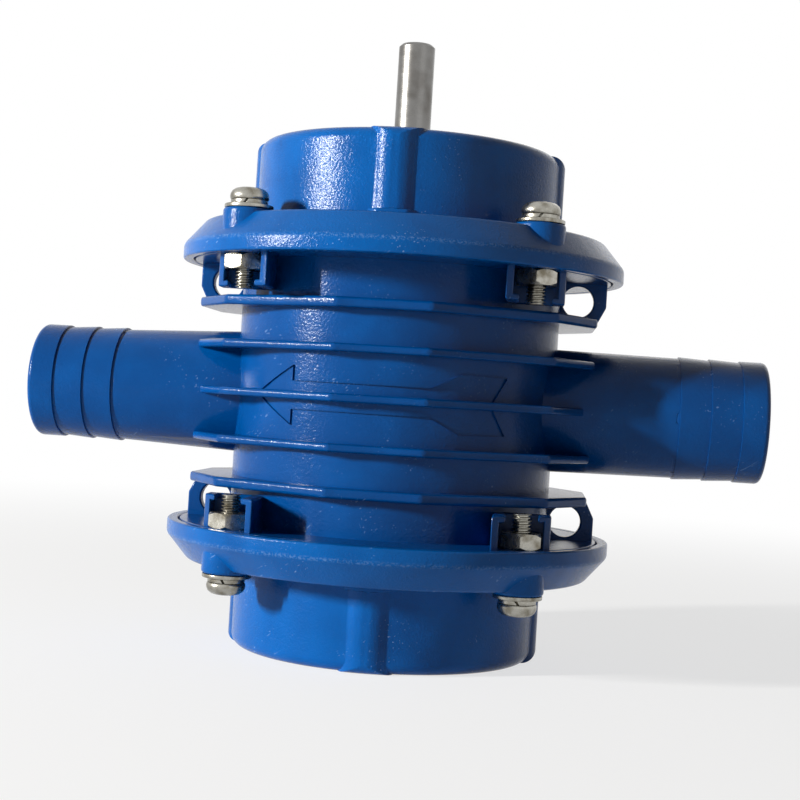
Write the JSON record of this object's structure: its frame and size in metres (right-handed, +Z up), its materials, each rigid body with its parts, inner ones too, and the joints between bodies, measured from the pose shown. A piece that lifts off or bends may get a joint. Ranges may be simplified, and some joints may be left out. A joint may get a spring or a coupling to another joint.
{
  "type": "drill powered pump",
  "caption": "Finned plastic pump with two opposed hose nozzles, bolted end caps and an upright shaft for a drill chuck.",
  "frame": {"origin": "centre of the lower cap's end face, on which the pump stands", "axes": "+Z up along the drive shaft, +X out of the inlet nozzle, -Y towards the marked front of the barrel"},
  "size_m": [0.16, 0.0968, 0.134],
  "materials": {
    "blue_plastic": "moulded, semi-gloss, fine mould grain",
    "zinc_plate": "bright zinc plating, slightly yellow",
    "bright_steel": "ground",
    "black_rubber": "moulded, matt",
    "brass": "turned"
  },
  "bodies": {
    "housing": {"pump_body": "blue_plastic", "top_cap": "blue_plastic", "bottom_cap": "blue_plastic", "top_end_plate": "blue_plastic", "bottom_end_plate": "blue_plastic", "top_o_ring": "black_rubber", "bottom_o_ring": "black_rubber", "top_lip_seal": "black_rubber", "bottom_lip_seal": "black_rubber", "top_seal_spring": "bright_steel", "bottom_seal_spring": "bright_steel", "top_bearing_outer_ring": "bright_steel", "bottom_bearing_outer_ring": "bright_steel", "top_bearing_shields": "bright_steel", "bottom_bearing_shields": "bright_steel", "top_screws": "zinc_plate", "bottom_screws": "zinc_plate", "top_spring_washers": "zinc_plate", "bottom_spring_washers": "zinc_plate", "top_flat_washers": "zinc_plate", "bottom_flat_washers": "zinc_plate", "top_nuts": "zinc_plate", "bottom_nuts": "zinc_plate"},
    "rotor": {"drive_shaft": "bright_steel", "impeller": "black_rubber", "impeller_core": "brass", "impeller_pin": "bright_steel", "top_circlip": "bright_steel", "bottom_circlip": "bright_steel", "top_bearing_inner_ring": "bright_steel", "bottom_bearing_inner_ring": "bright_steel"},
    "top_cage": {"top_bearing_cage": "brass", "top_bearing_balls": "bright_steel"},
    "bottom_cage": {"bottom_bearing_cage": "brass", "bottom_bearing_balls": "bright_steel"}
  },
  "joints": [
    {"name": "shaft_spin", "type": "hinge", "parent": "housing", "child": "rotor", "pos_m": [0, 0, 0.055], "axis": [0, 0, -1], "continuous": true},
    {"name": "top_cage_spin", "type": "hinge", "parent": "housing", "child": "top_cage", "pos_m": [0, 0, 0.1025], "axis": [0, 0, -1], "continuous": true},
    {"name": "bottom_cage_spin", "type": "hinge", "parent": "housing", "child": "bottom_cage", "pos_m": [0, 0, 0.0075], "axis": [0, 0, -1], "continuous": true}
  ],
  "couplings": [
    {"joint": "top_cage_spin", "follows": "shaft_spin", "ratio": 0.36767},
    {"joint": "bottom_cage_spin", "follows": "shaft_spin", "ratio": 0.36767}
  ]
}
